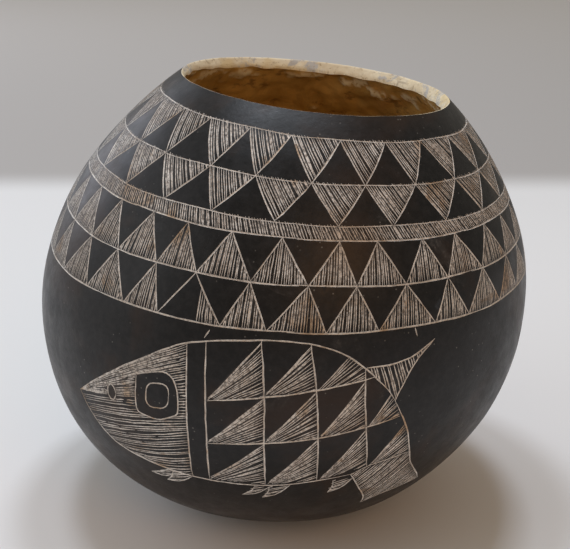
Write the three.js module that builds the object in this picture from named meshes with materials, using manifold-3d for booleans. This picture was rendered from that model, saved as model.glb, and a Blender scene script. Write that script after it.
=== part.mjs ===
// A dried bottle gourd opened into a bowl, as one solid shell.
//
// The gourd is a nearly round fruit. Its skin is a distance from the middle of the
// fruit that changes a little with the angle down from the stem (flatter below, a
// soft shoulder above) and from side to side (one shoulder is fuller). The stem end
// is sawn off square to the wall, and the blossom end is rubbed flat, so the bowl
// stands with the fruit's axis leaning a few degrees.
//
// Frame: millimetres, +Z up, the bowl leaning towards +X, and the origin under the
// middle of the bowl, in the plane of the flat that it stands on.

import * as THREE from "three";
import { mergeVertices } from "three/addons/utils/BufferGeometryUtils.js";
import Module from "manifold-3d";

// Driving dimensions, in millimetres and degrees.
const bodyRadius = 82; // mean distance from the middle of the fruit to its skin
const wall = 4.8; // thickness of the dried rind, the same all over
const lean = 6.2; // the fruit's axis away from vertical, towards +X
const worn = 2.4; // how much of the blossom end is rubbed away
const mouthAngle = 32.6; // from the fruit's axis out to the sawn edge
const mouthWander = { x: 1.6, y: 0.6 }; // how much wider the saw ran on two sides
const rounding = { second: 0.0045, third: 0.031, fourth: 0.0013, fifth: 0.0068 };
const fullerSide = { upper: 0.0249, lower: -0.003 }; // shares of the radius

// How finely the round surfaces are divided.
const sidesRound = 60;
const stepsOutside = 26;
const stepsInside = 20;

// The plain shell that the gourd is shaped from: two arcs round one centre.
const skinArc = 1;
const innerArc = 0.5;

const radians = THREE.MathUtils.degToRad;

// Distance from the middle of the fruit to its skin, in the direction given by down,
// the angle from the axis at the stem end, and round, the angle about that axis.
function skinDistance(down, round) {
  const profile =
    1 +
    rounding.second * Math.cos(2 * down) +
    rounding.third * Math.cos(3 * down) +
    rounding.fourth * Math.cos(4 * down) +
    rounding.fifth * Math.cos(5 * down);
  const swell =
    fullerSide.upper * Math.sin(2 * down) + fullerSide.lower * Math.sin(3 * down);
  return bodyRadius * (profile + swell * Math.cos(round));
}

// The angle from the axis out to the sawn edge of the mouth.
function mouthEdge(round) {
  const wander = mouthWander.x * Math.cos(round) + mouthWander.y * Math.sin(round);
  return radians(mouthAngle + wander);
}

// One arc of the plain shell's profile, from the mouth down to the axis.
function arc(radius, steps) {
  const start = radians(mouthAngle);
  return Array.from({ length: steps + 1 }, (_, step) => {
    const down = start + ((Math.PI - start) * step) / steps;
    return new THREE.Vector2(radius * Math.sin(down), radius * Math.cos(down));
  });
}

// The plain shell: up the outside, across the rim, and down the inside.
function plainShell() {
  const profile = [
    ...arc(skinArc, stepsOutside).reverse(),
    ...arc(innerArc, stepsInside),
  ];
  return new THREE.LatheGeometry(profile, sidesRound);
}

// Moves each vertex of the plain shell to its place on the gourd. The lathe turns
// about its own +Y, which becomes the fruit's axis, +Z.
function shapeGourd(geometry) {
  const places = geometry.getAttribute("position");
  const start = radians(mouthAngle);
  const point = new THREE.Vector3();
  for (let i = 0; i < places.count; i++) {
    point.fromBufferAttribute(places, i);
    const isInside = point.length() < (skinArc + innerArc) / 2;
    const round = Math.atan2(-point.z, point.x);
    const plainDown = Math.acos(Math.max(-1, point.y / point.length()));
    const share = (plainDown - start) / (Math.PI - start);
    const down = THREE.MathUtils.lerp(mouthEdge(round), Math.PI, share);
    const distance = skinDistance(down, round) - (isInside ? wall : 0);
    point.setFromSphericalCoords(distance, down, 0);
    places.setXYZ(
      i,
      point.z * Math.cos(round),
      point.z * Math.sin(round),
      point.y,
    );
  }
  return geometry;
}

// A closed three.js mesh as a manifold-3d solid.
function toSolid(geometry) {
  const bare = geometry.clone();
  bare.deleteAttribute("normal");
  bare.deleteAttribute("uv");
  const merged = mergeVertices(bare, 1e-3);
  return new wasm.Manifold(
    new wasm.Mesh({
      numProp: 3,
      vertProperties: new Float32Array(merged.getAttribute("position").array),
      triVerts: new Uint32Array(merged.index.array),
    }),
  );
}

// A manifold-3d solid as a three.js geometry.
function toGeometry(solid) {
  const mesh = solid.getMesh();
  return new THREE.BufferGeometry()
    .setAttribute("position", new THREE.BufferAttribute(mesh.vertProperties, 3))
    .setIndex(new THREE.BufferAttribute(mesh.triVerts, 1));
}

const wasm = await Module();
wasm.setup();

// The whole fruit, leaning as the bowl stands.
const fruit = shapeGourd(plainShell());
fruit.rotateY(radians(lean));
fruit.computeBoundingBox();

// Everything below the worn flat is taken off.
const flat = fruit.boundingBox.min.z + worn;
const removed = new THREE.BoxGeometry(4 * bodyRadius, 4 * bodyRadius, 2 * worn);
removed.translate(0, 0, flat - worn);
const bowl = toGeometry(toSolid(fruit).subtract(toSolid(removed)));

// The origin goes under the middle of the bowl, in the plane of the flat.
bowl.computeBoundingBox();
const middle = bowl.boundingBox.getCenter(new THREE.Vector3());
bowl.translate(-middle.x, -middle.y, -flat);

const driedRind = new THREE.MeshStandardMaterial({
  color: 0x2a2522,
  roughness: 0.45,
  metalness: 0,
});

const gourd = new THREE.Group();
const gourdShell = new THREE.Mesh(bowl, driedRind);
gourdShell.name = "gourd_shell";
gourd.add(gourdShell);

export default gourd;
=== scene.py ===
"""A dried bottle gourd opened into a bowl, its dark skin scratched with hatched bands and a fish.

Metres, +Z up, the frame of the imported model: the bowl stands on the origin, the fish faces -Y and
the mouth leans towards +X. A place on the gourd is given by two angles about the fruit's own axis:
down, from the stem end, and turn, from the front (-Y) round to the right (+X).
"""

import math

import bmesh
import bpy
import numpy as np
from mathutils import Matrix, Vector
from mathutils.geometry import delaunay_2d_cdt


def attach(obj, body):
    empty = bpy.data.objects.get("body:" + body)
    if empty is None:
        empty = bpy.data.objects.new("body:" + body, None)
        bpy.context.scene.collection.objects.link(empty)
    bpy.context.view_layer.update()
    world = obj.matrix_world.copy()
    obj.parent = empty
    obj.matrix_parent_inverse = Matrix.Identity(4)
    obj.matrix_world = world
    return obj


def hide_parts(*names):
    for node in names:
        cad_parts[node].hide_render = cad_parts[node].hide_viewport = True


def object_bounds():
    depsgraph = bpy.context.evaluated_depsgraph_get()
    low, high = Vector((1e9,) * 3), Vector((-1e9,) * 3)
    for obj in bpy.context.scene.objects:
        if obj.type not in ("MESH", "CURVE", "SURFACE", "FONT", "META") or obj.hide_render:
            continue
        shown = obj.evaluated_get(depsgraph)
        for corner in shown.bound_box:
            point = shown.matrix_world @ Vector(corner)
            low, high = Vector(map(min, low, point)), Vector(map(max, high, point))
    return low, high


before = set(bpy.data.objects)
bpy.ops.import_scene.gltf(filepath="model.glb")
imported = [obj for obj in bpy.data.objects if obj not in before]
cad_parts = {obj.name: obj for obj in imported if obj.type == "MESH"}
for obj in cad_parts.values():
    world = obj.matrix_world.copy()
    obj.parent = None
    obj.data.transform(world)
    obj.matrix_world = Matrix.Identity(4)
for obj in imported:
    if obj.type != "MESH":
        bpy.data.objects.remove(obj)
cad_low, cad_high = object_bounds()

# ------------------------------------------------------------------------------------------------
# The camera. It looks along +Y and down at the bowl from about arm's length, with a lens long
# enough to show the round body without swelling it.

width_in_radii = 2.0092  # the gourd is a little wider than a ball of its radius
fruit_radius = (cad_high.x - cad_low.x) / width_in_radii
fruit_centre = Vector((0.0005, 0.0, 0.0767))
looking_down = math.radians(20.6)
camera_distance = 5.055 * fruit_radius
aim_above_centre = 0.0011
towards_camera = Vector((0.0, -math.cos(looking_down), math.sin(looking_down)))
upwards = Vector((0.0, math.sin(looking_down), math.cos(looking_down)))

camera = bpy.data.objects.new("camera", bpy.data.cameras.new("camera"))
bpy.context.scene.collection.objects.link(camera)
camera.data.lens = 75.8
camera.data.sensor_width = 36.0
camera.data.clip_start = 0.01
camera.location = fruit_centre + upwards * aim_above_centre + towards_camera * camera_distance
camera.rotation_mode = "QUATERNION"
camera.rotation_quaternion = (-towards_camera).to_track_quat("-Z", "Y")
bpy.context.scene.camera = camera

# ------------------------------------------------------------------------------------------------
# The dark skin. It is the outside of the dried rind, stained nearly black and rubbed to a satin
# finish. It is one sheet from the rim down and round under the bowl, to the flat where the blossom
# end is rubbed away, and it is open wherever a line has been scratched through it.

skin_radius = fruit_radius - 0.00004
lean = math.radians(6.2)
mouth_angle = math.radians(32.6)
fruit_middle = np.array(fruit_centre)


def waves(places, length, count, seed):
    """Smooth bumps, about -1 to 1: sine waves of nearly one length, each in its own direction, added up."""
    rng = np.random.default_rng(seed)
    directions = rng.normal(size=(count, 3))
    directions /= np.linalg.norm(directions, axis=1, keepdims=True)
    numbers = 2 * np.pi / (length * rng.uniform(0.7, 1.5, count))
    phases = rng.uniform(0, 2 * np.pi, count)
    total = np.zeros(places.shape[:-1])
    for heading, number, phase in zip(directions, numbers, phases):
        total += np.sin(number * (places @ heading) + phase)
    return total / math.sqrt(count)


def saw_line(turn):
    """The angle down to the sawn edge: even, but for one slow wander round the mouth."""
    return mouth_angle + np.radians(1.6 * np.sin(turn) - 0.6 * np.cos(turn))


def fruit_distance(down, turn):
    """Middle of the fruit to its skin: a ball, flatter below, with a soft shoulder fuller on one side."""
    rounding = 0.0045 * np.cos(2 * down) + 0.031 * np.cos(3 * down)
    rounding += 0.0013 * np.cos(4 * down) + 0.0068 * np.cos(5 * down)
    fuller = (0.0249 * np.sin(2 * down) - 0.003 * np.sin(3 * down)) * np.sin(turn)
    return skin_radius * (1 + rounding + fuller)


def outward(down, turn):
    """The unit direction that the two angles give, with the fruit's axis leaning towards +X."""
    x = np.sin(down) * np.sin(turn)
    y = -np.sin(down) * np.cos(turn)
    z = np.cos(down)
    leaning = [math.cos(lean) * x + math.sin(lean) * z, y, math.cos(lean) * z - math.sin(lean) * x]
    return np.stack(leaning, -1)


def round_surface(down, turn, depth):
    """A place below the skin by depth: the fruit's shape, with a few shallow dents."""
    heading = outward(down, turn)
    dents = 0.00020 * np.minimum(waves(heading * skin_radius, 0.05, 14, 3) - 1.2, 0.0)
    return fruit_middle + heading * (fruit_distance(down, turn) + dents - depth)[..., None]


def on_gourd(down, turn, depth=0.0):
    """The same, stopped by a soft bend at the level of the rubbed flat under the bowl."""
    place = round_surface(down, turn, depth)
    bend = 0.0003
    place[..., 2] = bend * np.logaddexp(0.0, place[..., 2] / bend)
    return place


def skin_edge(turn):
    """Where the skin stops: below the saw line by a worn corner about 0.25 mm wide, with a few chips."""
    ring = np.stack([np.cos(turn), np.sin(turn), 0 * turn], -1) * 0.044
    chips = np.clip(waves(ring, 0.006, 10, 6) - 1.2, 0.0, 1.0)
    wear = 0.00022 + 0.00008 * waves(ring, 0.012, 10, 5) + 0.0003 * chips
    return saw_line(turn) + np.clip(wear, 0.0001, 0.0007) / skin_radius


# The scratched part of the skin is laid out flat, as a label is: one way runs round the girth from
# the back, past the front, to the back again, and the other down from the skin's edge to a level
# line below the fish.
columns = 360
label_bottom = math.radians(132.0)
label_width = 2 * math.pi * skin_radius
label_height = skin_radius * (label_bottom - mouth_angle)


def to_label(down, turn):
    """Angles to the flat label: the turn times the radius, and the share of the way down its height."""
    edge = skin_edge(turn)
    return np.stack([turn * skin_radius, label_height * (down - edge) / (label_bottom - edge)], -1)


def from_label(flat):
    """The flat label back to angles."""
    turn = flat[..., 0] / skin_radius
    edge = skin_edge(turn)
    return edge + (label_bottom - edge) * flat[..., 1] / label_height, turn


# Every scratch is planned as a stroke: the points that the knife passes, in millimetres along the
# skin, across from the front to the right and down from the stem end.
mm = 0.001
girth = label_width / mm
degree = girth / 360
random = np.random.default_rng(11)
strokes = []
shortest_stroke = 1.0  # millimetres: where a hatch runs out in a corner, no shorter scratch is made


def knife(points, width=0.42, wobble=0.06, step=4.0, entry=0.15):
    """One stroke: the points joined by straight runs and re-spaced evenly, with a small wobble, and a
    width that swells over the entry share of its length and tails off at the end."""
    points = np.asarray(points, float)
    travelled = np.append(0.0, np.cumsum(np.linalg.norm(np.diff(points, axis=0), axis=1)))
    if travelled[-1] < shortest_stroke:
        return
    count = max(4, int(math.ceil(travelled[-1] / step)) + 1)
    at = np.linspace(0.0, travelled[-1], count)
    path = np.stack([np.interp(at, travelled, points[:, k]) for k in (0, 1)], -1)
    path += random.normal(0.0, wobble, path.shape)
    share = np.linspace(0.0, 1.0, count)
    swell = np.minimum(0.35 + 0.65 * share / entry, 1.0) * np.minimum(0.3 + (1 - share) / 0.2, 1.0)
    widths = width * swell * (1 + random.normal(0.0, 0.12, count))
    strokes.append((path * mm, np.maximum(widths, 0.1) * mm))


def curve(points, count=24):
    """A smooth line through the points: a Catmull-Rom curve, its ends carried straight on."""
    points = np.asarray(points, float)
    padded = np.vstack([2 * points[0] - points[1], points, 2 * points[-1] - points[-2]])
    position = np.linspace(0, len(points) - 1, count)
    first = np.minimum(position.astype(int), len(points) - 2)
    t = (position - first)[:, None]
    a, b, c, d = (padded[first + k] for k in range(4))
    return 0.5 * (2 * b + (c - a) * t + (2 * a - 5 * b + 4 * c - d) * t**2 + (3 * b - 3 * c + d - a) * t**3)


# The ring lines, each with the height of the band above it and its own width, in millimetres: a plain
# collar below the mouth, two rows of triangles, a narrow band, and two more rows.
rings = {
    "brow": (8.5, 0.30),
    "upper": (15.0, 0.30),
    "waist": (13.0, 0.30),
    "belt": (4.5, 0.46),
    "lower": (13.5, 0.46),
    "hem": (13.5, 0.50),
}
heights = np.cumsum([band_height for band_height, line_width in rings.values()])
levels = dict(zip(rings, degree * math.degrees(mouth_angle) + heights))


def ring_height(name, across):
    """How far down the wall a ring line runs: level at the front and the back. On the right the highest
    ring dips with the mouth and the lowest one rises, and the others share out the change."""
    lowered = 2.3 - 6.8 * (levels[name] - levels["brow"]) / (levels["hem"] - levels["brow"])
    return levels[name] + lowered * np.sin(np.radians(across / degree))


for name in rings:
    lengths = 8
    for part in range(lengths):
        start = girth * (part / lengths - 0.5)
        across = np.linspace(start - 1.0, start + girth / lengths + 1.0, 24)
        drift = 0.2 * np.sin(across / 9.0 + random.uniform(0, 6))
        knife(np.stack([across, ring_height(name, across) + drift], -1), rings[name][1], 0.04)


def corners(name, count, first, uneven):
    """The marks for the triangles' corners, stepped off along a ring by eye, from one just right or
    left of the front: a little wide in front, a little close behind, and never quite even."""
    turn = first + 360.0 / count * np.arange(count)
    turn += 1.2 * np.sin(np.radians(turn)) + random.normal(0, uneven, count)
    return np.stack([turn * degree, ring_height(name, turn * degree)], -1)


def bases(marks):
    """Each mark with the next one round the ring."""
    return zip(marks, np.vstack([marks[1:], marks[:1] + [girth, 0.0]]))


def true_length(left, right):
    """The length of a base along the skin, where the ring is shorter than the girth."""
    return (right[0] - left[0]) * math.sin(math.radians(left[1] / degree))


# Hatching, in millimetres: from stroke to stroke, how wide the strokes are, and by how much of a gap
# each may be off its place.
hatch_gap = 0.80
hatch_widths = (0.22, 0.42)
off_place = 0.33


def hanging_row(base, name, tips):
    """Triangles with their bases up. Strokes run parallel to the left side, from above the base line
    down to the right side, so that the tops are ragged and the right sides clean."""
    for (left, right), tip in zip(bases(base), tips):
        knife([left, tip], 0.46)
        knife([right, tip], 0.46)
        count = int(round(true_length(left, right) / hatch_gap))
        for share in (np.arange(1, count) + random.uniform(-off_place, off_place, count - 1)) / count:
            start = left + share * (right - left)
            start[1] = ring_height(name, start[0])
            run = (1 - share) * (tip - left)
            finish = start + run + random.normal(0, 0.15, 2)
            start -= random.uniform(0.1, 0.8) * run / np.linalg.norm(run)
            knife([start, finish], random.uniform(*hatch_widths))


def standing_row(tips, base, name, left_black=None):
    """Triangles with their bases down. Steep strokes, spreading a little from the tip, run from the
    sides down to the base line, so that the sides are ragged and the base clean. One triangle may be
    left black, but for a few strokes at its right corner."""
    for number, ((left, right), tip) in enumerate(zip(bases(base), tips)):
        knife([tip, left], 0.42)
        knife([tip, right], 0.46)
        count = int(round(true_length(left, right) / hatch_gap))
        middle = (tip[0] - left[0]) / (right[0] - left[0])
        shares = (np.arange(1, count) + random.uniform(-off_place, off_place, count - 1)) / count
        if number == left_black:
            shares = shares[shares > 0.64]
        for share in shares:
            finish = left + share * (right - left)
            finish[1] = ring_height(name, finish[0])
            rise = share / middle if share < middle else (1 - share) / (1 - middle)
            side = left if share < middle else right
            start = side + rise * (tip - side)
            start[0] += 0.15 * rise * (tip[0] - finish[0])
            start[1] += random.uniform(-0.4, 0.3)
            knife([start, finish], random.uniform(*hatch_widths))


brow = corners("brow", 24, -5.5, 0.5)
upper = corners("upper", 24, 1.6, 0.5)
waist = corners("waist", 24, 8.3, 0.5)
belt = corners("belt", 32, 7.0, 0.6)
lower = corners("lower", 32, 1.7, 0.8)
hem = corners("hem", 32, -3.5, 0.9)
hanging_row(brow, "brow", upper)
hanging_row(upper, "upper", waist)
standing_row(belt, lower, "lower")
standing_row(lower, hem, "hem", left_black=30)

# The narrow band between the waist and the belt is filled with short slanting strokes.
narrow_gap = 0.98
for across in np.arange(-girth / 2, girth / 2, narrow_gap):
    top = across + random.uniform(-0.18, 0.18)
    slant = 2.4 + 1.0 * math.sin(math.radians(top / degree)) + random.uniform(-0.2, 0.2)
    start = [top, ring_height("waist", top) - random.uniform(0.0, 0.55)]
    foot = top + slant
    knife([start, [foot, ring_height("belt", foot)]], random.uniform(*hatch_widths), step=1.5)

# The fish, on the front below the bands, drawn in millimetres from the middle of the front and from
# the level of the hem. Its head is to the left.
hem_level = 80.0 * degree


def draw(points, width=0.45, count=None, step=2.5):
    """One outline of the fish: a smooth line through the points, or a straight one between two."""
    points = np.asarray(points, float) + [0.0, hem_level]
    if count:
        points = curve(points, count)
    knife(points, width, 0.05, step)


def hatch(outline, slope, gap, width=0.36, ragged=0.3):
    """Fills an outline with parallel strokes that rise to the right by the slope: level lines a gap apart,
    in axes turned by the slope, are cut where they cross the outline's sides, and every other stretch
    between the cuts is a stroke."""
    outline = np.asarray(outline, float) + [0.0, hem_level]
    turned = math.radians(slope)
    axes = np.array([[math.cos(turned), -math.sin(turned)], [math.sin(turned), math.cos(turned)]])
    flat = outline @ axes.T
    after = np.roll(flat, -1, axis=0)
    for level in np.arange(flat[:, 1].min() + gap / 2, flat[:, 1].max(), gap):
        level += random.uniform(-0.3, 0.3) * gap
        crossed = (flat[:, 1] > level) != (after[:, 1] > level)
        share = (level - flat[crossed, 1]) / (after[crossed, 1] - flat[crossed, 1])
        cuts = np.sort(flat[crossed, 0] + share * (after[crossed, 0] - flat[crossed, 0]))
        for begin, end in zip(cuts[::2], cuts[1::2]):
            if end - begin > 1.2:
                run = np.array([[begin + random.uniform(-ragged, ragged), level], [end, level]])
                knife(run @ axes, width * random.uniform(0.8, 1.2))


patch_gap = 1.02


def scale_patch(near, *rim):
    """A hatched patch in the fish's side, from its near corner to its rim, which runs from the top corner
    down to the far one. Each stroke ends on the rim, and leans between the long side and the low side."""
    near = np.asarray(near, float) + [0.0, hem_level]
    rim = np.asarray(rim, float) + [0.0, hem_level]
    knife([near, rim[0]], 0.42, entry=0.4)
    low_side, long_side = rim[-1] - near, rim[0] - near
    low_angle = math.atan2(low_side[1], low_side[0])
    long_angle = math.atan2(long_side[1], long_side[0])
    passed = np.append(0.0, np.cumsum(np.linalg.norm(np.diff(rim, axis=0), axis=1)))
    count = int(round(passed[-1] / patch_gap))
    for share in (np.arange(count) + random.uniform(0.15, 0.85, count)) / count:
        finish = np.array([np.interp(share * passed[-1], passed, rim[:, k]) for k in (0, 1)])
        lean_angle = long_angle + (0.02 + 0.66 * share) * (low_angle - long_angle)
        heading = np.array([math.cos(lean_angle), math.sin(lean_angle)])
        # back along the heading to the low side
        gap = finish - near
        reach = low_side[0] * gap[1] - low_side[1] * gap[0]
        reach /= low_side[0] * heading[1] - low_side[1] * heading[0]
        reach = min(reach, np.linalg.norm(gap) * random.uniform(0.9, 0.98))
        start = finish - reach * heading + random.normal(0, 0.12, 2)
        knife([start, finish], random.uniform(*hatch_widths), entry=0.6)


nose = (-71.0, 38.0)
back = [
    nose, (-57, 27), (-45, 18), (-29, 8.2), (-8, 3.5), (6, 3), (16, 5.5), (23, 9.8), (31, 16.8), (34.2, 21),
]
belly = [
    nose, (-67, 44), (-61, 49.6), (-53, 53), (-35, 55), (-18, 55), (0, 53.5), (15, 50.2), (25.5, 48),
]
tail_side = [(34.2, 21), (37.5, 26), (41, 32), (45.5, 42), (49, 48), (60.7, 60)]
gill_front = [(-29.8, 8.6), (-28.9, 17), (-27.9, 29), (-27.2, 40), (-26.6, 54.8)]
gill_back = [(-24, 6.7), (-23.2, 15.6), (-22.3, 25), (-21.3, 38), (-20.6, 54.8)]
first_upright = [(-8, 3.6), (-5.3, 20), (-3.9, 35.7), (-1.9, 53.4)]
second_upright = [(6.3, 3.1), (9.3, 16.8), (11.8, 32.6), (14.5, 50)]
third_upright = [(23, 9.8), (25, 24), (30.2, 45)]
draw(back, 0.45, 60)
draw(belly, 0.45, 60)
draw(tail_side, 0.45, 36)
draw(gill_front, 0.45, 24)
draw(gill_back, 0.45, 24)
draw(first_upright, 0.45, 24)
draw(second_upright, 0.45, 24)
draw(third_upright, 0.45, 20)
draw([(-21.8, 24.6), (-9, 21.4), (9.3, 16.8), (26.6, 12.6)], 0.45, 24)
draw([(-20.8, 39.2), (-4, 35.9), (11.8, 32.6), (36.9, 26.5)], 0.45, 24)

# Three rows of patches, then the odd-shaped ones that the back and the tail cut short.
scale_patch((-21.6, 24.3), (-7.9, 4.2), (-5.3, 20.2))
scale_patch((-4.9, 19.6), (6.4, 3.8), (9.2, 16.9))
scale_patch((10.2, 16.3), (17.8, 6.6), (23, 9.8), (23.2, 13.2))
scale_patch((-20.8, 38.9), (-5.2, 20.6), (-4.0, 35.8))
scale_patch((-3.3, 35.3), (9.4, 17.3), (11.6, 32.7))
scale_patch((12.6, 32.2), (23.4, 14), (26.2, 29.2))
scale_patch((27.2, 28.7), (32.4, 18.4), (34.2, 21), (37, 26.2))
scale_patch((-20.2, 54.3), (-3.8, 36.3), (-2.0, 53))
scale_patch((-1.2, 52.8), (11.9, 33.2), (14.4, 49.9))
scale_patch((15.6, 49.6), (26.5, 29.6), (30.0, 44.6))
scale_patch((31.2, 44.6), (39.6, 29.8), (43.2, 37), (44.7, 41))

# The tail: a lower fluke full of leaning strokes, and a thin upper one that curves up and back.
lower_fluke = [(25.5, 48), (30.6, 55), (35.8, 62), (36.8, 66.6), (41.2, 63.8), (46.9, 61.9), (60.7, 60)]
draw(lower_fluke[:4], 0.42, 12)
draw(lower_fluke[3:], 0.36, 12)
draw([(25.5, 48), (31.2, 44.6), (44.9, 41.4)], 0.36)
hatch(lower_fluke + [(49, 48), (45.2, 41.4), (31.2, 45)], 52, 0.92)
upper_fluke = [(23, 9.8), (28.2, 9.4), (33.1, 8.7), (38, 7.2), (42.1, 5), (45.8, 2.6)]
fluke_back = [(45.8, 2.6), (40.2, 8), (37, 13.4), (34.6, 18.9), (34.2, 21)]
draw(upper_fluke, 0.45, 20)
draw(fluke_back, 0.45, 20)
hatch(upper_fluke + fluke_back[1:] + [(31, 16.8)], -68, 1.0)

# Small fins under the belly, each a curved sliver with a few strokes.
for root, tip, end in (
    ((-35.3, 55), (-43.6, 59.6), (-34.0, 57)),
    ((-34, 55.4), (-37.5, 61.3), (-26.9, 55.4)),
    ((-5.2, 54.6), (-9.4, 60.2), (-0.6, 54.4)),
    ((-0.6, 54.2), (-2.4, 60.6), (6.2, 52.8)),
    ((20, 50.4), (19.8, 56.6), (27, 49.4)),
):
    draw([root, (np.add(root, tip) / 2 + [0.9, 0]), tip], 0.4, 8)
    draw([tip, (np.add(end, tip) / 2 + [0.6, 1.2]), end], 0.4, 8)
    hatch([root, tip, np.add(end, tip) / 2 + [0.4, 0.8], end], 24, 0.85)

# The head: strokes from the mouth and the belly line across to the gill, left out where the eye and
# the nostril are. The eye's outline is straight in front and round behind.
eye_middle, eye_reach = np.array([-38.0, 27.3]), (7.3, 8.3)
eye_shape = [
    (-1, -0.54), (-0.4, -0.77), (0.2, -0.97), (0.66, -0.86), (0.92, -0.42), (1, 0.1), (0.98, 0.52),
    (0.86, 0.62), (0.56, 0.80), (0.1, 0.98), (-0.45, 0.98), (-0.95, 0.80), (-1, -0.54),
]
eye_outline = eye_middle + curve(eye_shape, 48) * eye_reach


def oval(middle, reach, squareness, count=40):
    """A rounded square: a circle whose sine and cosine are raised to a power below one, then scaled."""
    angle = np.linspace(0.0, 2 * np.pi, count)
    side = np.sign(np.cos(angle)) * np.abs(np.cos(angle)) ** squareness
    rise = np.sign(np.sin(angle)) * np.abs(np.sin(angle)) ** squareness
    return np.stack([middle[0] + reach[0] * side, middle[1] + reach[1] * rise], -1)


def inside_outline(points, outline):
    """True where a level line from the point to the right crosses the outline an odd number of times."""
    before, after = outline, np.roll(outline, -1, axis=0)
    x, y = points[:, None, 0], points[:, None, 1]
    crosses = (before[:, 1] > y) != (after[:, 1] > y)
    fall = np.where(after[:, 1] == before[:, 1], 1e-9, after[:, 1] - before[:, 1])
    reached = before[:, 0] + (y - before[:, 1]) / fall * (after[:, 0] - before[:, 0])
    return (crosses & (reached > x)).sum(1) % 2 == 1


nostril = oval((-54.8, 32.2), (1.7, 2.6), 1.0, 16)
draw(eye_outline, 0.42, step=1.4)
eye_ring = oval(eye_middle + [0.3, 0.2], (3.8, 4.1), 0.62, 60)
eye_ring[:, 1] -= 0.2 * (eye_ring[:, 0] - eye_middle[0])
draw(eye_ring, 0.38, step=1.2)
draw(nostril, 0.4, step=0.8)
head_steps = 39
belly_line, gill_line = curve(belly[:5], head_steps + 1), curve(gill_front, head_steps + 1)
gill_height = gill_front[-1][1] - gill_front[0][1]
head_strokes = 50
from_mouth = 0.42  # the share of the strokes that start at the mouth, above those from the belly line
for number in range(head_strokes):
    share = (number + random.uniform(0.3, 0.7)) / head_strokes
    gill_at = gill_line[int(head_steps * share)]
    gill_at = gill_at + [0.0, gill_height / head_steps * (head_steps * share % 1)]
    lower = max(share - from_mouth, 0.0) / (1 - from_mouth)
    start = belly_line[int(head_steps * min(lower, 0.99))]
    skipped = (0.02, 0.50, 0.22, 0.62)[number % 4] * random.uniform(0.6, 1.0)
    skipped *= min(max((0.46 - share) / 0.16, 0.03), 1.0)
    along = np.linspace(skipped, 1.0, 70)[:, None]
    line = start + along * (gill_at - start)
    line[:, 1] -= 1.6 * np.sin(np.pi * along[:, 0]) * (1 - 2 * share)
    blocked = inside_outline(line, eye_outline) | inside_outline(line, nostril)
    blocked |= np.abs(line[:, 0] - random.uniform(-90, -30)) < 0.25
    edges = np.flatnonzero(np.diff(np.concatenate([[1], blocked.astype(int), [1]])))
    for begin, end in zip(edges[::2], edges[1::2]):
        if end - begin > 3:
            knife(line[begin:end] + [0.0, hem_level], random.uniform(0.24, 0.42), 0.07, 3.0, 0.5)

# A few slips of the knife: short ticks past the hem.
for across, below, run in ((-23.5, 3.2, (-1.3, 2.6)), (38.3, -1.5, (0.9, 2.6)), (-56.0, 0.6, (-0.8, 1.8))):
    knife(np.array([[across, below + hem_level], [across + run[0], below + run[1] + hem_level]]), 0.4)

# The strokes are now ribbons on the flat label: each has a left edge, a middle and a right edge. A
# ribbon that crosses the back of the label is laid at both ends, so that the two ends match.
groove_slope = 0.62


def ribbon(path, widths):
    """Edges on both sides of a stroke: the path, moved half its width along its own normal, both
    measured on the round skin and not on the label, where rings near the stem are stretched."""
    down, turn = path[:, 1] / skin_radius, path[:, 0] / skin_radius
    stretch = np.stack([np.sin(down), np.ones_like(down)], -1)
    along = np.gradient(path, axis=0) * stretch
    along /= np.linalg.norm(along, axis=1, keepdims=True)
    normal = np.stack([-along[:, 1], along[:, 0]], -1) / stretch
    half = widths[:, None] / 2 * normal
    rails = (path + half, path, path - half)
    return [to_label(rail[:, 1] / skin_radius, rail[:, 0] / skin_radius) for rail in rails]


label_points, ribbon_quads = [], []
mids, sides, reaches = [], [], []
used = 0
for path, widths in strokes:
    shift = label_width * np.round(path[:, 0].mean() / label_width)
    path = path - [shift, 0.0]
    reach = np.abs(path[:, 0]).max() + 0.001
    copies = [0.0]
    if reach > label_width / 2:
        copies.append(-label_width * np.sign(path[:, 0].mean()))
    for copy in copies:
        rails = ribbon(path, widths)
        rails = [rail + [copy, 0.0] for rail in rails]
        count = len(path)
        label_points.append(np.vstack(rails))
        near = np.arange(count - 1)
        for outer, inner in ((0, 1), (1, 2)):
            a, b = used + outer * count + near, used + inner * count + near
            ribbon_quads.append(np.stack([a, b, b + 1, a + 1], -1))
            edge = rails[0] if outer == 0 else rails[2]
            middle = rails[1]
            mids.append(np.stack([middle[:-1], middle[1:]], 1))
            sides.append(np.stack([edge[:-1] - middle[:-1], edge[1:] - middle[1:]], 1))
            reaches.append(np.stack([widths[:-1], widths[1:]], -1) / 2)
        used += 3 * count
label_points = np.vstack(label_points)
ribbon_quads = np.vstack(ribbon_quads)
mids, sides, reaches = np.vstack(mids), np.vstack(sides), np.vstack(reaches)

# Where a sharp bend folds a ribbon over itself, the folded quads are left out: both halves of a quad
# have to run anticlockwise and be more than a sliver.
sliver = 1e-9
quad_a, quad_b, quad_c, quad_d = (label_points[ribbon_quads[:, k]] for k in range(4))
open_quads = np.full(len(ribbon_quads), True)
for first, second, third in ((quad_a, quad_b, quad_c), (quad_a, quad_c, quad_d)):
    one_side, other_side = second - first, third - first
    doubled_area = one_side[:, 0] * other_side[:, 1] - one_side[:, 1] * other_side[:, 0]
    open_quads &= doubled_area > sliver
ribbon_quads = ribbon_quads[open_quads]
mids, sides, reaches = mids[open_quads], sides[open_quads], reaches[open_quads]

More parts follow.
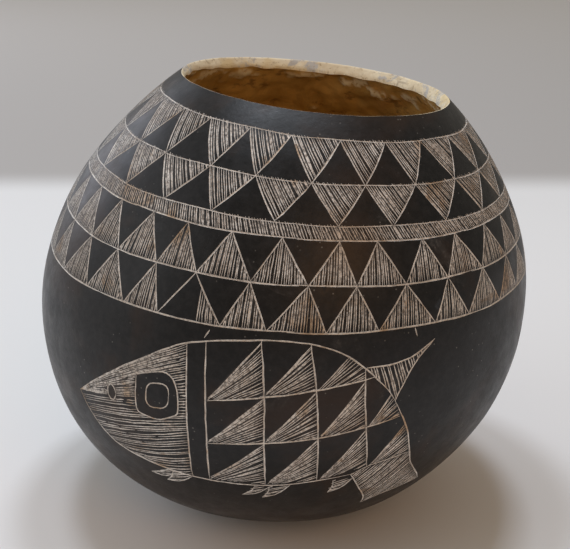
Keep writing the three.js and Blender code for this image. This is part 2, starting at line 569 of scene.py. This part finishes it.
# A plain net under the ribbons keeps the skin's curve between them.
net = 0.003
rows = int(round(label_height / net))
net_columns = int(round(label_width / net))
across = np.linspace(-label_width / 2, label_width / 2, net_columns + 1)
along = np.linspace(0.0, label_height, rows + 1)[1:-1]
net_points = np.stack(np.meshgrid(across, along), -1).reshape(-1, 2)
border = np.linspace(-label_width / 2, label_width / 2, columns + 1)
top_row = np.stack([border, 0 * border], -1)
bottom_row = np.stack([border, 0 * border + label_height], -1)
start_top = used + len(net_points)
start_bottom = start_top + columns + 1
all_points = np.vstack([label_points, net_points, top_row, bottom_row])
step_along = np.arange(columns)
left_side = used + (net_columns + 1) * np.arange(rows - 1)
left_chain = np.concatenate([[start_top], left_side, [start_bottom]])
right_chain = np.concatenate([[start_top + columns], left_side + net_columns, [start_bottom + columns]])
label_edges = np.vstack([
    np.stack([start_top + step_along, start_top + step_along + 1], -1),
    np.stack([start_bottom + step_along, start_bottom + step_along + 1], -1),
    np.stack([left_chain[:-1], left_chain[1:]], -1),
    np.stack([right_chain[:-1], right_chain[1:]], -1),
])

cut_points, _, cut_faces, _, _, cut_owners = delaunay_2d_cdt(
    [Vector(p / mm) for p in all_points], label_edges.tolist(), ribbon_quads.tolist(), 0, 1e-4, True
)
flat = np.array(cut_points) * mm
triangles = np.array(cut_faces)
inside = np.abs(flat[triangles].mean(1)[:, 0]) < label_width / 2
owned = np.array([len(owner) for owner in cut_owners])

# Each corner of a cut face lies in a known half of a ribbon. The point of the knife is a wedge, so the
# depth grows evenly from the ribbon's edge to its middle, and where ribbons cross the deepest counts.
face_of = np.repeat(np.arange(len(triangles)), owned)
half = np.concatenate([np.array(owner, int) for owner in cut_owners if owner])
corner, half = triangles[face_of].ravel(), np.repeat(half, 3)
run = mids[half, 1] - mids[half, 0]
mean_side = sides[half].mean(1)
offset = flat[corner] - mids[half, 0]
area = run[:, 0] * mean_side[:, 1] - run[:, 1] * mean_side[:, 0]
share = np.clip((offset[:, 0] * mean_side[:, 1] - offset[:, 1] * mean_side[:, 0]) / area, 0, 1)
out = (run[:, 0] * offset[:, 1] - run[:, 1] * offset[:, 0]) / area
side = sides[half, 0] + share[:, None] * (sides[half, 1] - sides[half, 0])
out *= np.linalg.norm(mean_side, axis=1) / np.maximum(np.linalg.norm(side, axis=1), 1e-9)
depth = np.zeros(len(flat))
reach = reaches[half, 0] + share * (reaches[half, 1] - reaches[half, 0])
np.maximum.at(depth, corner, groove_slope * reach * np.clip(1 - out, 0, 1))
depth[triangles[owned == 0]] = 0.0
cut_down, cut_turn = from_label(flat)
cut_places = on_gourd(cut_down, cut_turn, depth)


# Around close strokes the skin is scuffed. How much is the share of it that is cut away nearby: the
# cut area summed in half-millimetre cells of the label, then spread over the cells around.
cell = 0.0005
label_size = np.array([label_width, label_height])
cells = np.ceil(label_size / cell).astype(int) + 1
corner_a, corner_b, corner_c = (flat[triangles[:, k]] for k in range(3))
side_ab, side_ac = corner_b - corner_a, corner_c - corner_a
cut_area = np.abs(side_ab[:, 0] * side_ac[:, 1] - side_ab[:, 1] * side_ac[:, 0]) / 2
cut_area *= inside & (owned > 0)


def cell_of(points):
    """The row and column of the cell that holds each point of the label."""
    return np.clip(((points + [label_width / 2, 0.0]) / cell).astype(int), 0, cells - 1)


scuffed = np.zeros(cells)
np.add.at(scuffed, tuple(cell_of(flat[triangles].mean(1)).T), cut_area / cell**2)
spread_times = 6
for spread in range(spread_times):
    for axis in (0, 1):
        scuffed = (np.roll(scuffed, 1, axis) + 2 * scuffed + np.roll(scuffed, -1, axis)) / 4
cut_scuffs = scuffed[tuple(cell_of(flat).T)]


def make_piece(name, places, faces, smooth=True, **marks):
    """A mesh object from places and faces, its doubled points merged and the points of no face dropped.
    Each mark is a number for every place, kept as an attribute of its name for the material to read."""
    used_points, index = np.unique(faces, return_inverse=True)
    mesh = bpy.data.meshes.new(name)
    mesh.from_pydata(places[used_points].tolist(), [], index.reshape(faces.shape).tolist())
    for mark, values in marks.items():
        layer = mesh.attributes.new(mark, "FLOAT", "POINT")
        layer.data.foreach_set("value", values[used_points].astype(np.float32))
    merged = bmesh.new()
    merged.from_mesh(mesh)
    bmesh.ops.remove_doubles(merged, verts=merged.verts, dist=1e-6)
    bmesh.ops.dissolve_degenerate(merged, edges=merged.edges, dist=1e-7)
    merged.to_mesh(mesh)
    merged.free()
    mesh.polygons.foreach_set("use_smooth", np.full(len(mesh.polygons), smooth))
    piece = bpy.data.objects.new(name, mesh)
    bpy.context.scene.collection.objects.link(piece)
    return piece


def grid_faces(rows, columns):
    """The faces of a net of rows and columns of points, whose last column meets its first."""
    row, column = np.meshgrid(np.arange(rows - 1), np.arange(columns), indexing="ij")
    a = row * columns + column
    b = row * columns + (column + 1) % columns
    return np.stack([a, a + columns, b + columns, b], -1).reshape(-1, 4)


# Below the label, the skin is a plain net that narrows to the middle of the flat.
cap_rows = 40
cap_turn = np.linspace(-np.pi, np.pi, columns + 1)[:-1]
cap_share = np.linspace(0.0, 1.0, cap_rows)
cap_down = label_bottom + (math.pi - label_bottom) * cap_share
cap_down, cap_turn = np.meshgrid(cap_down, cap_turn, indexing="ij")
cap_places = on_gourd(cap_down, cap_turn).reshape(-1, 3)
cap = grid_faces(cap_rows, columns)
cap_triangles = np.vstack([cap[:, [0, 1, 2]], cap[:, [0, 2, 3]]])
skin_triangles = triangles[inside & (owned == 0)]
line_triangles = triangles[inside & (owned > 0)]
skin_places = np.vstack([cut_places, cap_places])
skin_faces = np.vstack([skin_triangles[:, ::-1], cap_triangles + len(cut_places)])
skin_scuffs = np.append(cut_scuffs, np.zeros(len(cap_places)))
dark_skin = make_piece("dark_skin", skin_places, skin_faces, scuffed=skin_scuffs)
line_faces = line_triangles[:, ::-1]
scratched_lines = make_piece("scratched_lines", cut_places, line_faces, smooth=False, scuffed=cut_scuffs)


# A painted warm glow on the front right, where the warm front light's highlight falls, and the painted
# shade of a small pit at the right.
painted_warm_glow = on_gourd(math.radians(61.0), math.radians(11.5))
painted_pit_shade = on_gourd(math.radians(92.0), math.radians(65.3))


class Finish:
    """A material built up node by node. add makes one node, sets it, joins its inputs, and gives its
    output. An input is named by its label, or as i and its number."""

    def __init__(self, name):
        self.material = bpy.data.materials.new(name)
        self.material.use_nodes = True
        self.tree = self.material.node_tree
        self.shader = self.tree.nodes["Principled BSDF"]
        self.place = self.add("ShaderNodeTexCoord", output="Object")

    def add(self, kind, output=0, settings=(), **inputs):
        node = self.tree.nodes.new(kind)
        for name, value in dict(settings).items():
            setattr(node, name, value)
        for name, value in inputs.items():
            key = int(name[1:]) if name[1:].isdigit() else name.replace("_", " ")
            self.put(node.inputs[key], value)
        return node.outputs[output]

    def put(self, socket, value):
        if isinstance(value, bpy.types.NodeSocket):
            self.tree.links.new(value, socket)
        else:
            socket.default_value = value

    def noise(self, scale, detail=3.0, roughness=0.55, distortion=0.0, place=None):
        return self.add(
            "ShaderNodeTexNoise", Vector=place or self.place,
            Scale=scale, Detail=detail, Roughness=roughness, Distortion=distortion,
        )

    def mark(self, name):
        """A number that the mesh keeps for each of its points."""
        return self.add("ShaderNodeAttribute", output="Fac", settings={"attribute_name": name})

    def near(self, middle, reach, core):
        """One within the core of a place on the object, and nothing past the reach."""
        distance = self.add(
            "ShaderNodeVectorMath", output="Value", settings={"operation": "DISTANCE"},
            i0=self.place, i1=tuple(middle),
        )
        return self.between(distance, reach, core)

    def between(self, value, low, high, to_low=0.0, to_high=1.0):
        """Low and below gives to_low, high and above gives to_high, with a smooth change between."""
        return self.add(
            "ShaderNodeMapRange", settings={"interpolation_type": "SMOOTHSTEP"},
            Value=value, From_Min=low, From_Max=high, To_Min=to_low, To_Max=to_high,
        )

    def times(self, first, second, operation="MULTIPLY"):
        return self.add("ShaderNodeMath", settings={"operation": operation}, i0=first, i1=second)

    def blend(self, share, first, second):
        """The first colour, with a share of the second over it."""
        return self.add(
            "ShaderNodeMix", output=2, settings={"data_type": "RGBA"}, i0=share,
            i6=first if isinstance(first, bpy.types.NodeSocket) else (*first, 1.0),
            i7=second if isinstance(second, bpy.types.NodeSocket) else (*second, 1.0),
        )

    def bump(self, height, strength, distance, under=None):
        inputs = {"Height": height, "Strength": strength, "Distance": distance}
        if under:
            inputs["Normal"] = under
        return self.add("ShaderNodeBump", **inputs)

    def wear(self, piece, **inputs):
        """Joins the shader's inputs and puts the material on the piece."""
        for name, value in inputs.items():
            self.put(self.shader.inputs[name.replace("_", " ")], value)
        piece.data.materials.clear()
        piece.data.materials.append(self.material)


stain = Finish("black_stain")
height = stain.add("ShaderNodeSeparateXYZ", output="Z", Vector=stain.place)
fine = stain.noise(420.0, 6.0, 0.7)
colour = stain.blend(stain.between(fine, 0.35, 0.7), (0.0036, 0.0032, 0.0034), (0.0120, 0.0110, 0.0112))
# Brown: real brown patches in the stain, with painted warm bounce light at the bottom and a painted warm
# glow at the front right added to them.
brown = stain.between(stain.noise(23.0, 4.0, 0.6, 0.4), 0.50, 0.68)
# Painted bounce light: the skin is painted browner below about 45 mm, standing in for warm light thrown up
# from the table.
painted_floor_bounce = stain.between(height, 0.045, 0.004)
brown = stain.times(brown, stain.times(painted_floor_bounce, 0.9), "MAXIMUM")
# Painted warm glow: the skin is painted brown round the spot on the front right where the warm front
# light's highlight falls.
brown = stain.times(brown, stain.times(stain.near(painted_warm_glow, 0.013, 0.002), 0.6), "MAXIMUM")
colour = stain.blend(stain.times(brown, 0.7), colour, (0.028, 0.0135, 0.0065))
chalk = stain.between(stain.noise(42.0, 5.0, 0.62, 0.8), 0.61, 0.75)
dust = stain.between(stain.noise(900.0, 3.0, 0.7), 0.42, 0.72)
haze = stain.times(stain.between(stain.mark("scuffed"), 0.28, 0.50), 0.55)
chalk = stain.times(stain.times(chalk, 0.6), haze, "MAXIMUM")
chalk = stain.times(chalk, stain.times(stain.times(dust, 0.7), 0.3, "ADD"))
colour = stain.blend(chalk, colour, (0.150, 0.138, 0.130))
speck = stain.add("ShaderNodeTexVoronoi", Vector=stain.place, Scale=430.0)
speck = stain.times(stain.between(speck, 0.14, 0.05), stain.between(stain.noise(60.0), 0.5, 0.62))
colour = stain.blend(stain.times(speck, 0.35), colour, (0.35, 0.33, 0.30))
# Painted shade: a small dark spot stands in for the shade inside a pit at the right, which has no shape of
# its own.
colour = stain.blend(stain.near(painted_pit_shade, 0.0009, 0.0005), colour, (0.0015, 0.0012, 0.0010))
roughness = stain.between(stain.noise(95.0, 6.0, 0.75), 0.3, 0.7, 0.34, 0.50)
roughness = stain.times(roughness, stain.times(chalk, 0.3), "ADD")
grain = stain.bump(stain.noise(520.0, 5.0, 0.65), 0.22, 0.0003)
grain = stain.bump(stain.noise(48.0, 2.0), 0.10, 0.0012, grain)
stain.wear(dark_skin, Base_Color=colour, Roughness=roughness, Normal=grain, Specular_IOR_Level=0.3)
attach(dark_skin, "root")

# ------------------------------------------------------------------------------------------------
# The scratched lines. They are where the knife has gone through the stain into the pale rind: the
# two sloping sides of each small groove, chalky where they are fresh, ochre where they are old, and
# painted ochre at the front right as a warm glow of light.

pale = Finish("bare_rind")
tone = pale.noise(120.0, 4.0, 0.6)
colour = pale.blend(pale.between(tone, 0.35, 0.7), (0.74, 0.71, 0.67), (0.55, 0.50, 0.45))
ochre_wear_and_warm_glow = pale.between(pale.noise(62.0, 4.0, 0.6, 0.5), 0.56, 0.68)
# Painted warm glow: the lines are painted ochre round the same spot, where the warm front light falls.
ochre_wear_and_warm_glow = pale.times(ochre_wear_and_warm_glow, pale.times(pale.near(painted_warm_glow, 0.014, 0.003), 0.7), "MAXIMUM")
colour = pale.blend(pale.times(ochre_wear_and_warm_glow, 0.6), colour, (0.42, 0.24, 0.08))
close_strokes = pale.between(pale.mark("scuffed"), 0.26, 0.46, 0.45, 1.0)
left_stain = pale.between(pale.noise(950.0, 4.0, 0.7), 0.45, 0.62)
left_stain = pale.times(left_stain, close_strokes)
colour = pale.blend(pale.times(left_stain, 0.8), colour, (0.085, 0.070, 0.060))
fibres = pale.bump(pale.noise(1500.0, 2.0), 0.2, 0.0002)
pale.wear(scratched_lines, Base_Color=colour, Roughness=0.85, Normal=fibres)
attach(scratched_lines, "root")

# ------------------------------------------------------------------------------------------------
# The cut rim. It is the sawn edge of the rind, square to the wall and a little uneven, bare and
# cream-coloured, with its outer corner worn and its inner edge left as the scraper left it.

wall = 0.0048
rim_turn = np.linspace(-np.pi, np.pi, columns + 1)[:-1]


def scraped_wall(down, turn):
    """The rind's thickness: the plain wall, scraped about a millimetre thinner at the mouth, and thicker
    and thinner by up to 0.8 mm in slow swells and by about 0.2 mm in small lumps."""
    heading = outward(down, turn) * skin_radius
    below_mouth = (down - saw_line(turn)) * skin_radius
    scraped = 0.0011 * np.exp(-((below_mouth / 0.009) ** 2))
    swell = 0.0003 * waves(heading, 0.03, 12, 21) + 0.00022 * waves(heading, 0.007, 16, 22)
    return wall - scraped + 0.0006 * np.sin(turn - 0.3) + swell


rim_rows = 9
step = np.linspace(0.0, 1.0, rim_rows - 1)[:, None]
worn = (skin_edge(rim_turn) - saw_line(rim_turn)) * skin_radius
rim_depth = worn + step * (scraped_wall(saw_line(rim_turn), rim_turn) - worn)
across_rim = np.stack([np.cos(rim_turn), np.sin(rim_turn), 0 * rim_turn], -1) * 0.043
tooth = np.stack([waves(across_rim * (1 - 0.1 * s), 0.004, 14, 31) for s in step[:, 0]])
saw_marks = (0.00007 * tooth * np.sin(np.pi * step) + 0.00035 * step**6) / skin_radius
rim_down = saw_line(rim_turn) + saw_marks
rim_down = np.vstack([skin_edge(rim_turn), rim_down])
rim_depth = np.vstack([0 * rim_turn, rim_depth])
rim_places = on_gourd(rim_down, np.broadcast_to(rim_turn, rim_down.shape), rim_depth)
cut_rim = make_piece("cut_rim", rim_places.reshape(-1, 3), grid_faces(rim_rows, columns)[:, ::-1])

cream = Finish("sawn_rind")
tone = cream.noise(95.0, 5.0, 0.65)
colour = cream.blend(cream.between(tone, 0.35, 0.7), (0.80, 0.71, 0.52), (0.66, 0.55, 0.37))
yellow = cream.between(cream.noise(38.0, 3.0, 0.6), 0.54, 0.62)
colour = cream.blend(cream.times(yellow, 0.6), colour, (0.66, 0.50, 0.24))
grey = cream.between(cream.noise(62.0, 5.0, 0.7, 0.6), 0.55, 0.62)
colour = cream.blend(cream.times(grey, 0.7), colour, (0.38, 0.39, 0.41))
crack = cream.add(
    "ShaderNodeTexVoronoi", settings={"feature": "DISTANCE_TO_EDGE"}, Vector=cream.place, Scale=95.0
)
crack = cream.times(cream.between(crack, 0.035, 0.010), cream.between(cream.noise(40.0, 2.0), 0.52, 0.6))
colour = cream.blend(cream.times(crack, 0.8), colour, (0.16, 0.11, 0.07))
pore = cream.between(cream.noise(800.0, 3.0, 0.6), 0.55, 0.70)
colour = cream.blend(cream.times(pore, 0.6), colour, (0.33, 0.23, 0.12))
pith = cream.bump(cream.noise(700.0, 4.0, 0.65), 0.5, 0.0003)
pith = cream.bump(crack, -0.6, 0.0004, pith)
cream.wear(cut_rim, Base_Color=colour, Roughness=0.82, Normal=pith)
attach(cut_rim, "root")

# ------------------------------------------------------------------------------------------------
# The inside wall. It is the scraped inner face of the rind, amber brown and lumpy, with dry pale
# skins of the pith peeling off it below the rim.

inside_rows = 110
inside_share = np.linspace(0.0, 1.0, inside_rows)[:, None] ** 1.15
inside_start = rim_down[-1]
inside_down = inside_start + (math.pi - inside_start) * inside_share
inside_turn = np.broadcast_to(rim_turn, inside_down.shape)
inside_heading = outward(inside_down, inside_turn) * skin_radius
below_rim = (inside_down - saw_line(inside_turn)) * skin_radius
level_strips = inside_heading * [1.0, 1.0, 3.2]
peeling = waves(level_strips, 0.016, 18, 41) + 0.5 * waves(level_strips, 0.005, 18, 42)
peeling -= 0.55 + 1.5 * np.clip((below_rim - 0.004) / 0.009, 0, 1)
peel = np.clip(peeling / 0.3 + 0.5, 0, 1) * np.clip(below_rim / 0.0012 - 0.4, 0, 1)
lumps = 0.0004 * waves(inside_heading, 0.016, 18, 43) + 0.00022 * waves(inside_heading, 0.006, 20, 44)
lumps = np.clip(below_rim / 0.002, 0, 1) * (lumps + 0.0004 * peel)
inside_depth = scraped_wall(inside_down, inside_turn) + lumps
inside_depth[0] = rim_depth[-1]
inside_places = round_surface(inside_down, inside_turn, inside_depth)
inside_faces = grid_faces(inside_rows, columns)[:, ::-1]
inside_wall = make_piece("inside_wall", inside_places.reshape(-1, 3), inside_faces, peeling=peel.ravel())

amber = Finish("scraped_pith")
tone = amber.noise(70.0, 5.0, 0.65, 0.5)
colour = amber.blend(amber.between(tone, 0.32, 0.72), (0.64, 0.40, 0.12), (0.40, 0.235, 0.060))
orange = amber.between(amber.noise(45.0, 3.0, 0.6, 0.6), 0.58, 0.68)
colour = amber.blend(amber.times(orange, 0.35), colour, (0.66, 0.33, 0.10))
dark_spots = amber.between(amber.noise(190.0, 4.0, 0.6), 0.56, 0.70)
colour = amber.blend(amber.times(dark_spots, 0.6), colour, (0.10, 0.035, 0.008))
skins = amber.times(amber.mark("peeling"), amber.between(amber.noise(300.0, 4.0, 0.7), 0.34, 0.48))
colour = amber.blend(amber.times(skins, 0.9), colour, (0.88, 0.78, 0.55))
fibre = amber.bump(amber.noise(420.0, 5.0, 0.65), 0.5, 0.0005)
amber.wear(inside_wall, Base_Color=colour, Roughness=0.7, Normal=fibre)
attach(inside_wall, "root")
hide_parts("gourd_shell")

# ------------------------------------------------------------------------------------------------
# The table and the lights: a plain pale top that turns grey behind the bowl, two soft lamps overhead
# and a little behind, two cool windows on the left, and a weak warm light from the front.

table = bpy.data.objects.new("table", bpy.data.meshes.new("table"))
bpy.context.scene.collection.objects.link(table)
half_table = 6.0  # metres
table_corners = [(x * half_table, y * half_table, 0) for x, y in ((-1, -1), (1, -1), (1, 1), (-1, 1))]
table.data.from_pydata(table_corners, [], [(0, 1, 2, 3)])

pale_top = Finish("pale_top")
depth_back = pale_top.add("ShaderNodeSeparateXYZ", output="Y", Vector=pale_top.place)
# The grey behind is painted lighter further back, to make up for the lamps' light falling off with
# distance.
grey_back = pale_top.blend(pale_top.between(depth_back, 0.3, 1.5), (0.44, 0.42, 0.405), (0.72, 0.69, 0.665))
colour = pale_top.blend(pale_top.between(depth_back, 0.355, 0.41), (0.79, 0.785, 0.78), grey_back)
pale_top.wear(table, Base_Color=colour, Roughness=0.65)

world = bpy.data.worlds.new("room")
bpy.context.scene.world = world
world.use_nodes = True
world.node_tree.nodes["Background"].inputs["Color"].default_value = (1.0, 0.93, 0.80, 1.0)
world.node_tree.nodes["Background"].inputs["Strength"].default_value = 0.31
bpy.context.scene.view_settings.view_transform = "Standard"


def soft_lamp(name, place, width, power, colour):
    """A square lamp that faces the bowl."""
    lamp = bpy.data.objects.new(name, bpy.data.lights.new(name, "AREA"))
    bpy.context.scene.collection.objects.link(lamp)
    lamp.data.size = width
    lamp.data.energy = power
    lamp.data.color = colour
    lamp.location = place
    lamp.rotation_mode = "QUATERNION"
    lamp.rotation_quaternion = (fruit_centre - Vector(place)).to_track_quat("-Z", "Y")


soft_lamp("overhead_left", (-0.22, 0.20, 1.24), 0.20, 4.2, (0.82, 0.89, 1.0))
soft_lamp("overhead_right", (0.10, 0.26, 1.25), 0.20, 4.8, (0.82, 0.89, 1.0))
soft_lamp("window", (-1.2, -0.3, 0.6), 1.0, 3.4, (0.90, 0.94, 1.0))
soft_lamp("window_behind", (-1.0, 0.9, 0.5), 0.8, 4.6, (0.80, 0.86, 1.0))
soft_lamp("front", (0.45, -1.1, 0.75), 0.7, 2.8, (1.0, 0.48, 0.18))
